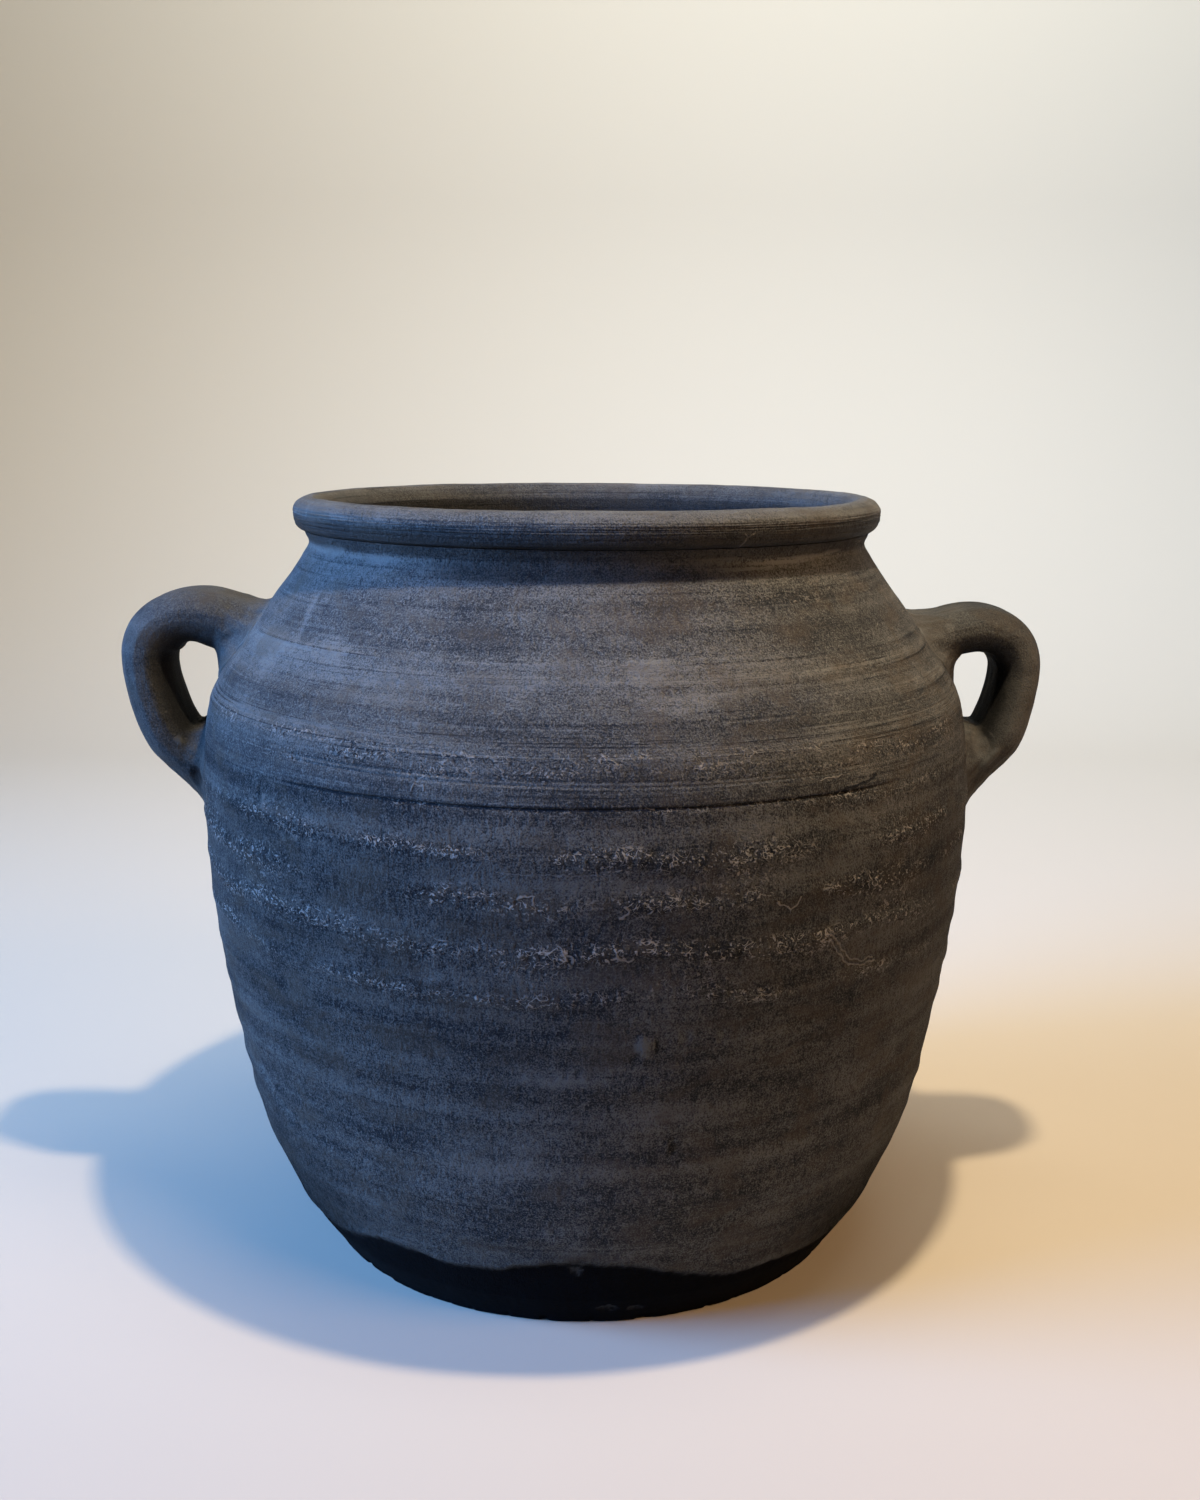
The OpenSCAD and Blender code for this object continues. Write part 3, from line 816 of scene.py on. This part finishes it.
def pull_marks(s, seed):
    """Height of the pull lines, with a thumb groove down the outer face and a softer one inside."""
    d = 0.55 * ringed(1.3, s / 42, seed) + 0.28 * ringed(3.4, s / 60, seed + 1)
    d = d + 0.10 * ringed(9, s / 40, seed + 2) + 0.12 * ringed(5, s / 6, seed + 3)
    way = np.degrees(AROUND)
    return d - 0.7 * hump(turned(way), 24) - 0.4 * hump(turned(way - 180), 26)


def strap_points(h):
    """Rings of the strap in the handle's own frame."""
    line, heading, half_t, half_w, s = strap_line(h)
    x, z = column(line[:, 0]), column(line[:, 1])
    heading, half_t, half_w, s = (column(v) for v in (heading, half_t, half_w, s))
    d = pull_marks(s, 70 if h["side"] < 0 else 90)
    # Clay pushed into the inside of the bend, and left thick under the upper root
    bend_s = s[np.argmax(x), 0]
    fill = h["fill"] * (0.45 * ramp(bend_s + 6 - s, 0, 18) + 0.55 * hump(s - bend_s + 11, 11))
    fill = fill + h["root"] * hump(s, 11)
    up = half_t * soft(OUT) + d * OUT - fill * ramp(-OUT, 0, 0.9)
    across = half_w * soft(ACROSS) + d * ACROSS
    return np.stack([x - up * np.sin(heading), across, z + up * np.cos(heading)], -1)


def strap(h, name, material):
    skin = Skin()
    rings = strap_points(h)
    share = column(np.linspace(0, 1, len(rings)))
    # Painted shade darkens the top a little, and painted light makes the sides paler; where worn is below
    # zero it makes them darker, as painted shade
    top = ramp(OUT, 0.1, 0.8) * ramp(share, 0, 0.15) * ramp(0.5 - share, 0, 0.2)
    painted_sides = ramp(abs(ACROSS), 0.55, 0.95) * ramp(share, 0.3, 0.5) * ramp(1 - share, 0, 0.15)
    masks = {"pale": h["worn"] * painted_sides - h["painted_top_shade"] * top, "cut": INNER_PAINTED_SHADE}
    first, last = skin.rows(turned_round(h, rings), masks)
    skin.close(first, strap_end(h, 0), True)
    skin.close(last, strap_end(h, -1), False)
    return skin.make(name, material)


def on_wall(h, delta, z, lift=0.0):
    """Points on the wall in the handle's own frame, lifted off it by lift."""
    d, _ = outer_marks(90 * h["side"] + np.degrees(delta), z)
    tilt = np.arctan(slope(z))
    r = plain_r(z) + d + lift * np.cos(tilt)
    return np.stack([r * np.cos(delta), r * np.sin(delta), z - lift * np.sin(tilt)], -1)


def pad_middle(h, upper):
    return LOWER_H + h["rise"] - h["smear"] if upper else LOWER_H - h["drop"] - h["sag"]


def pad_outline(h, upper, seed, share, lift=0.0):
    """The pad's ragged outline on the wall, share times as large."""
    size = share * (1 + 0.10 * ringed(1.6, 0.5, seed) + 0.06 * ringed(5, 0.5, seed + 1))
    middle = pad_middle(h, upper)
    half_l = h["upper"] / 2 if upper else -h["lower"] / 2
    steep = math.cos(math.atan(float(slope(middle))))
    reach = 1 + 0.28 * ramp(-OUT, 0, 0.8)
    z = middle + half_l * reach * soft(OUT) * size * steep
    return on_wall(h, PAD_W / 2 * soft(ACROSS) * size / plain_r(z), z, lift)


def unit(v):
    return v / (np.linalg.norm(v, axis=-1, keepdims=True) + 1e-9)


def flare(end, lead, landing, outward, pull):
    """Rows that leave the ring end along lead and reach the ring landing on their way outward."""
    t = np.linspace(0, 1, 54)[:, None, None]
    start, leave = 2 * t ** 3 - 3 * t * t + 1, t ** 3 - 2 * t * t + t
    stop, arrive = 3 * t * t - 2 * t ** 3, t ** 3 - t * t
    stub = np.linalg.norm(landing - end, axis=1, keepdims=True)
    return start * end + (leave * lead * 1.15 + arrive * outward * 0.95) * stub * pull + stop * landing


def outward_normals(xyz):
    normal = unit(np.cross(np.gradient(xyz, axis=0), np.gradient(xyz, axis=1)))
    return normal * np.sign(((xyz - xyz.mean(1, keepdims=True)) * normal).sum(2).mean())


def thumb_marks(xyz, share, seed, thumbs):
    """Height and paleness of the smears that run from the strap, at share 0, on to the wall, at 1."""
    d = 0.5 * ringed(2.6, share * 1.8, seed + 2) + 0.22 * ringed(8, share * 2.5, seed + 3)
    d = d + 0.16 * noise(*np.moveaxis(xyz / 3, 2, 0), seed + 4)
    pale = 0.35 * ramp(share, 0.1, 0.8) * (0.6 + 0.8 * ringed(3, share * 2, seed + 5))
    for angle, middle, half_angle, half_share, depth, tint in thumbs:
        q = np.hypot(turned(np.degrees(AROUND) - angle) / half_angle, (share - middle) / half_share)
        d = d - depth * (1 - ramp(q, 0.3, 1.1))
        pale = pale + tint * (1 - ramp(q, 0.4, 1.1))
    return d, np.clip(pale, -1, 1)


def pad(h, name, material, upper):
    """A smeared pad: from the strap's end ring it flares until it lies along the wall."""
    at = 0 if upper else -1
    seed = (110 if upper else 120) + (h["side"] > 0) * 30
    way = strap_line(h)[1][at] + (math.pi if upper else 0)
    lead = np.array([math.cos(way), 0, math.sin(way)])
    landing = pad_outline(h, upper, seed, 1.0)
    outward = unit(pad_outline(h, upper, seed, 1.06) - landing)
    pull = 1 - (h["web"] if upper else 0.3) * ramp(-OUT, 0.1, 0.8)
    xyz = flare(strap_points(h)[at], lead, landing, outward, column(pull))

    # The marks fade at both ends, and the edge is feathered into the wall
    share = column(np.linspace(0, 1, len(xyz)))
    d, pale = thumb_marks(xyz, share, seed, THUMBS[h["side"], upper])
    d = d * ramp(share, 0, 0.2) * ramp(1 - share, 0, 0.12) - 0.55 * ramp(share, 0.86, 1.0)
    xyz = xyz + outward_normals(xyz) * d[:, :, None]
    skin = Skin()
    masks = {"pale": pale, "cut": INNER_PAINTED_SHADE * (1 - ramp(share, 0.05, 0.5))}
    first, last = skin.rows(turned_round(h, xyz), masks)
    skin.close(first, strap_end(h, at), True)
    sunk = [pad_outline(h, upper, seed, 0.9, -3.0), pad_outline(h, upper, seed, 0.45, -4.0)]
    buried, inner = skin.rows(turned_round(h, np.stack(sunk)))
    skin.join(last, buried)
    hub = on_wall(h, np.zeros(1), np.array([pad_middle(h, upper)]), -4.0)[0]
    skin.close(inner, turned_round(h, hub), False)
    return skin.make(name, material)


# ---- materials ----
DARK, LIGHT, BROWN = (0.0125, 0.0145, 0.0175), (0.102, 0.104, 0.101), (0.057, 0.048, 0.038)
TORN_CLAY, BLACK_AND_PAINTED_SHADE = (0.26, 0.25, 0.235, 1), (0.0022, 0.0024, 0.003, 1)


class Nodes:
    """A new material's tree, with short ways to add nodes to it. Lengths are in millimetres."""

    def __init__(self, name):
        self.material = bpy.data.materials.new(name)
        self.material.use_nodes = True
        self.tree = self.material.node_tree
        self.tree.nodes.clear()
        where = self.node("TexCoord", out=3)
        self.place = self.node("VectorMath", {0: where, 3: 1000.0}, operation="SCALE")
        x, y, self.height = (self.node("SeparateXYZ", {0: self.place}, out=k) for k in range(3))
        angle = self.maths("ARCTAN2", x, self.times(y, -1.0))
        self.round_way = self.times(angle, BELLY_R)

    def node(self, kind, inputs=None, out=0, **settings):
        made = self.tree.nodes.new("ShaderNode" + kind)
        for key, value in settings.items():
            setattr(made, key, value)
        for key, value in (inputs or {}).items():
            if isinstance(value, bpy.types.NodeSocket):
                self.tree.links.new(value, made.inputs[key])
            else:
                made.inputs[key].default_value = value
        return made.outputs[out] if made.outputs else made

    def maths(self, operation, a, b=0.0, c=0.0):
        return self.node("Math", {0: a, 1: b, 2: c}, operation=operation)

    def vector(self, operation, a, b, c=(0, 0, 0), out=0):
        return self.node("VectorMath", {0: a, 1: b, 2: c}, out, operation=operation)

    def times(self, first, *others):
        for other in others:
            first = self.maths("MULTIPLY", first, other)
        return first

    def add(self, total, part, share):
        return self.maths("MULTIPLY_ADD", part, share, total)

    def larger(self, a, b):
        return self.maths("MAXIMUM", a, b)

    def within(self, value, low, high, to_low=0.0, to_high=1.0):
        """A smooth step of the value, from to_low at low to to_high at high."""
        return self.node(
            "MapRange",
            {"Value": value, "From Min": low, "From Max": high, "To Min": to_low, "To Max": to_high},
            interpolation_type="SMOOTHSTEP",
        )

    def weaken(self, mask, least):
        """A factor that falls from 1 to least where the mask is 1."""
        return self.within(mask, 0.0, 1.0, 1.0, least)

    def grain(self, squeeze, scale, detail, roughness=0.5, twist=0.0, shift=0.0):
        """Noise squeezed along x, y and z, so that a number below 1 draws it out that way."""
        at = self.vector("MULTIPLY_ADD", self.place, squeeze, (shift,) * 3)
        return self.node(
            "TexNoise",
            {"Vector": at, "Scale": scale, "Detail": detail, "Roughness": roughness, "Distortion": twist},
        )

    def blend(self, share, a, b):
        return self.node("Mix", {0: share, 6: a, 7: b}, out=2, data_type="RGBA")


def laid_flat(t):
    """The wall laid flat, in millimetres round and up, shaken a little so that lines look drawn."""
    shake = t.node("TexNoise", {"Vector": t.place, "Scale": 0.32, "Detail": 1.0}, out=1)
    shake = t.vector("SUBTRACT", shake, (0.5, 0.5, 0.5))
    flat = t.node("CombineXYZ", {0: t.round_way, 1: t.height})
    return t.vector("MULTIPLY_ADD", shake, (3, 3, 0), flat)


def drawn_marks(t, marks):
    """Masks of fine marks, each with its lift and paleness."""
    flat, drawn = laid_flat(t), []
    for width, lift, tint, lines in marks:
        near = None
        for line in lines:
            spots = [Vector((math.radians(angle) * BELLY_R, z, 0)) for angle, z in line]
            for a, b in zip(spots, spots[1:]):
                way = t.vector("SUBTRACT", flat, a)
                share = t.vector("DOT_PRODUCT", way, (b - a) / (b - a).length_squared, out=1)
                share = t.node("Clamp", {0: share})
                closest = t.node("VectorMath", {0: b - a, 3: share}, operation="SCALE")
                far = t.vector("DISTANCE", way, closest, out=1)
                near = far if near is None else t.maths("MINIMUM", near, far)
        drawn.append((t.within(near, width, 0.45 * width), lift, tint))
    return drawn


def curls(t, scale, shift, width, rarity):
    """Curled flecks of clay torn up by the wheel: the lines where a noise crosses its middle."""
    squeeze = (0.85, 0.85, 1.1)
    curl = t.grain(squeeze, scale, 1, 0.5, 0.9, shift)
    line = t.within(t.maths("ABSOLUTE", t.maths("SUBTRACT", curl, 0.5)), width, 0.3 * width)
    patch = t.grain(squeeze, 0.62 * scale, 1, shift=shift)
    return t.times(line, t.within(patch, rarity, rarity + 0.05))


def torn_places(t, torn):
    """Masks of the raised flecks and crumbs, and of the pits between them."""
    density = t.within(torn, 0.05, 0.75)
    fleck = t.larger(curls(t, 0.24, 0, 0.028, 0.54), curls(t, 0.42, 37, 0.040, 0.56))
    crumb = t.within(t.grain((1, 1, 1.2), 0.8, 1, 0.4), 0.6, 0.68)
    raised = t.times(t.larger(fleck, t.times(crumb, 0.75)), density)
    return raised, t.times(t.within(t.grain((1, 1, 1.1), 0.55, 1, 0.4), 0.37, 0.3), density)


def gathered_lines(t, smear, stripes):
    """How strong the fine lines of the sponge and the rib are, in groups and mostly high up."""
    group = t.grain((0.012, 0.012, 1), 0.14, 1)
    calm = t.times(t.within(t.height, 249, 254), t.within(t.height, 268, 262))
    strength = t.within(t.height, 215, 221, 0.35 * stripes, stripes)
    grouped = t.within(group, 0.4, 0.6, 0.25, 1)
    return t.times(strength, t.weaken(smear, 0.12), t.weaken(calm, 0.2), grouped)


def mottle(t, parts, contrast):
    """A tone from 0 for dark to 1 for light clay, summed from noises with their shares."""
    tone = 0.0
    for part, share in parts:
        tone = t.add(tone, part, share)
    middle = 0.5 * sum(share for _, share in parts) + 0.02
    return t.within(tone, middle - 0.16 / contrast, middle + 0.16 / contrast)


def painted_light_and_shade(t):
    """Painted light and shade by height, with painted shade under the rim and below it in front."""
    # Painted light and shade by height: lightest high on the shoulder, darker down the body, lighter
    # again near the foot
    steps = ((55, 125, 1.28, 1), (186, 210, 0.78, 1), (228, 250, 0.8, 1))
    painted_shade_under_rim = t.times(t.within(t.height, 281, 285), t.within(t.height, 295, 291.5))
    front = t.within(t.maths("ABSOLUTE", t.round_way), 115, 45)
    painted_front_shade = t.times(front, t.within(t.height, 274, 277.5), t.within(t.height, 286, 281))
    painted_light_by_height = t.times(*(t.within(t.height, *step) for step in steps))
    return t.times(painted_light_by_height, t.weaken(painted_shade_under_rim, 0.42), t.weaken(painted_front_shade, 0.36))


def clay(name, shade, rough, bump=1.0, stripes=1.0, streaks=0.05, contrast=1.0, shine=0.14):
    """Smoke-blackened clay, shade times as bright as the plain one, with its grain and fine marks, and
    with painted light and shade.
    """
    t = Nodes(name)
    pale, torn, cut, smear = (t.node("Attribute", attribute_name=k, out=2) for k in Skin.MASKS)
    fine, coarse = t.grain((1, 1, 0.9), 1.7, 3, 0.65), t.grain((1, 1, 1), 0.34, 3, 0.6)
    cloud, warmth = t.grain((1, 1, 1.5), 0.03, 4, 0.6), t.grain((1, 1, 1.6), 0.055, 3, 0.55, 0.4)
    streak, band = t.grain((1, 1, 0.3), 0.75, 2), t.grain((0.02, 0.02, 1), 0.16, 2)
    stripe = t.grain((0.009, 0.009, 1), 0.9, 3, 0.65)
    speck = t.within(t.grain((1, 1, 1), 1.25, 1), 0.63, 0.71)
    gathered = gathered_lines(t, smear, stripes)
    broken = t.within(coarse, 0.40, 0.58, 0.25, 1.0)
    raised, pit = torn_places(t, torn)
    drawn = drawn_marks(t, FINE_MARKS.get(name, ()))

    parts = [(fine, 0.85), (coarse, 0.18), (cloud, 0.32), (band, 0.30), (streak, streaks)]
    tone = mottle(t, parts, contrast)
    tone = t.add(tone, t.times(t.within(stripe, 0.44, 0.37), gathered, broken), 0.95)
    tone = t.add(tone, t.times(t.within(stripe, 0.57, 0.63), gathered), -0.75)
    for part, share in ((pit, -0.50), (speck, 0.75 * contrast), (pale, 0.8)):
        tone = t.add(tone, part, share)
    for line, _, tint in drawn:
        if tint < 0:
            tone = t.add(tone, line, tint)
        else:
            raised = t.larger(raised, t.times(line, tint))
    dark, light, brown = ((*(shade * v for v in c), 1) for c in (DARK, LIGHT, BROWN))
    colour = t.blend(t.node("Clamp", {0: tone}), dark, light)
    colour = t.blend(t.within(warmth, 0.48, 0.68, 0.0, 0.45), colour, brown)
    # The clay's colour scaled by the painted light and shade
    colour = t.node("VectorMath", {0: colour, 3: painted_light_and_shade(t)}, operation="SCALE")
    colour = t.blend(t.times(raised, 0.85), colour, TORN_CLAY)
    # Blends in black: the foot band's own black, and painted shade inside the jar, inside the handles and
    # low on the sides
    colour = t.blend(cut, colour, BLACK_AND_PAINTED_SHADE)

    relief = t.times(fine, 0.5)
    parts = [(coarse, 0.5), (streak, 0.3), (t.times(stripe, gathered), 0.6), (raised, 0.45), (pit, -0.35)]
    for part, share in parts + [(line, lift) for line, lift, _ in drawn]:
        relief = t.add(relief, part, share)
    roughness = t.within(fine, 0.3, 0.7, rough - 0.08, rough + 0.1)
    surface = {
        "Base Color": colour,
        "Roughness": t.larger(roughness, cut),
        "Normal": t.node("Bump", {"Strength": 1.0, "Distance": bump * MM, "Height": relief}),
        "Specular IOR Level": shine,
    }
    t.node("OutputMaterial", {0: t.node("BsdfPrincipled", surface)})
    return t.material


# Brightness against the plain clay, roughness, and what else sets each clay apart, by slot; the
# brightness differs between parts partly as painted light and shade
HANDLE_LOOK = dict(shade=0.8, rough=0.63, bump=0.7, stripes=0.1, contrast=0.5, shine=0.08)
LOOKS = {
    "foot_clay": dict(shade=1.15, rough=0.72, stripes=0.5, shine=0.04),
    "body_clay": dict(shade=1.15, rough=0.72, bump=2.0, stripes=0.6, streaks=0.2, shine=0.03),
    "shoulder_clay": dict(shade=1.2, rough=0.68, bump=1.8, contrast=0.85, shine=0.07),
    "neck_clay": dict(shade=1.1, rough=0.68, bump=1.6, stripes=0.35, shine=0.07),
    "rim_clay": dict(shade=0.9, rough=0.6, bump=1.5),
    "handle_clay": HANDLE_LOOK,
    "pad_clay": HANDLE_LOOK,
}
CLAYS = {name: clay(name, **look) for name, look in LOOKS.items()}


# ---- the jar ----
made = []
for build, slot_name in zip((floor, lower_wall, shoulder, neck, rim), LOOKS):
    made.append((build(CLAYS[slot_name]), build.__name__, slot_name))
for side, h in (("left_", LEFT), ("right_", RIGHT)):
    made.append((strap(h, side + "handle", CLAYS["handle_clay"]), side + "handle", "handle_clay"))
    for part, upper in (("upper_pad", True), ("lower_pad", False)):
        made.append((pad(h, side + part, CLAYS["pad_clay"], upper), side + part, "pad_clay"))
for piece, node_name, slot_name in made:
    piece.name = "visual_" + node_name
    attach(piece, "root")
    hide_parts(node_name)


# ---- floor, backdrop, light and camera ----
PAINT = (0.47, 0.42, 0.34, 1)

# Lamps: name, place and aim in metres, size, watts, colour and spread in degrees
LAMPS = [
    ("key", (0.095, -0.205, 0.951), (0, 0, 0.15), 0.04, 8.6, (1, 0.8, 0.54), 180),
    ("window", (-1.85, -0.6, 0.95), (0, 0, 0.2), 1.2, 25, (0.11, 0.38, 1), 75),
    ("left", (-1.9, -0.1, 0.5), (0, 0, 0.2), 0.9, 8.5, (0.48, 0.67, 1), 80),
    ("low", (1.5, -0.3, 0.25), (0, 0, 0.15), 0.6, 0.9, (1, 0.46, 0.16), 80),
    ("right", (1.1, -1, 1.2), (0, 0, 0.2), 0.9, 4.8, (1, 0.64, 0.34), 90),
    ("wall", (0.3, 0.2, 2), (0.35, 1.5, 0.9), 1.4, 36, (0.9, 0.96, 1), 120),
]
ROOM_COLOUR, ROOM_LIGHT = (1, 0.92, 0.8, 1), 0.016

# The camera as fitted to the photo: place in metres, turns in degrees, and lens on 36 mm film
EYE = (0, -0.6493, 0.3321)
YAW, PITCH_DOWN, ROLL = -0.501, 11.895, 0.3
LENS = 38.4


def paint():
    material = bpy.data.materials.new("backdrop_paint")
    material.use_nodes = True
    shader = material.node_tree.nodes["Principled BSDF"]
    for key, value in (("Base Color", PAINT), ("Roughness", 0.9), ("Specular IOR Level", 0.2)):
        shader.inputs[key].default_value = value
    return material


def backdrop():
    """A pale floor that curves up into a wall behind the jar."""
    bend = [(0.9 + 0.6 * math.sin(a), 0.6 - 0.6 * math.cos(a)) for a in np.linspace(0, math.pi / 2, 24)]
    profile = [(-3.0, 0.0), (-1.0, 0.0), (0.0, 0.0)] + bend + [(1.5, 1.5), (1.5, 3.4)]
    points = [(x, y, z) for y, z in profile for x in (-4.0, 4.0)]
    faces = [(2 * i, 2 * i + 1, 2 * i + 3, 2 * i + 2) for i in range(len(profile) - 1)]
    mesh = bpy.data.meshes.new("backdrop")
    mesh.from_pydata(points, [], faces)
    mesh.polygons.foreach_set("use_smooth", [True] * len(faces))
    mesh.materials.append(paint())
    new_object("backdrop", mesh)


def lamp(name, place, aim, size, power, colour, spread_angle):
    data = bpy.data.lights.new(name, "AREA")
    data.shape, data.size = "DISK", size
    data.energy, data.color = power, colour
    data.spread = math.radians(spread_angle)
    obj = new_object(name, data)
    obj.location = place
    obj.rotation_mode = "QUATERNION"
    obj.rotation_quaternion = (Vector(aim) - Vector(place)).to_track_quat("-Z", "Y")


def room_light(scene):
    scene.world = scene.world or bpy.data.worlds.new("room")
    scene.world.use_nodes = True
    sky = scene.world.node_tree.nodes["Background"]
    sky.inputs[0].default_value, sky.inputs[1].default_value = ROOM_COLOUR, ROOM_LIGHT
    scene.view_settings.view_transform = "Standard"
    scene.view_settings.look = "None"


def camera():
    data = bpy.data.cameras.new("camera")
    data.sensor_width, data.lens = 36, LENS
    data.clip_start, data.clip_end = 0.02, 20
    eye = new_object("camera", data)
    eye.matrix_world = (
        Matrix.Translation(EYE)
        @ Matrix.Rotation(math.radians(YAW), 4, "Z")
        @ Matrix.Rotation(math.radians(90 - PITCH_DOWN), 4, "X")
        @ Matrix.Rotation(math.radians(ROLL), 4, "Z")
    )
    return eye


backdrop()
for each in LAMPS:
    lamp(*each)
room_light(bpy.context.scene)
bpy.context.scene.camera = camera()
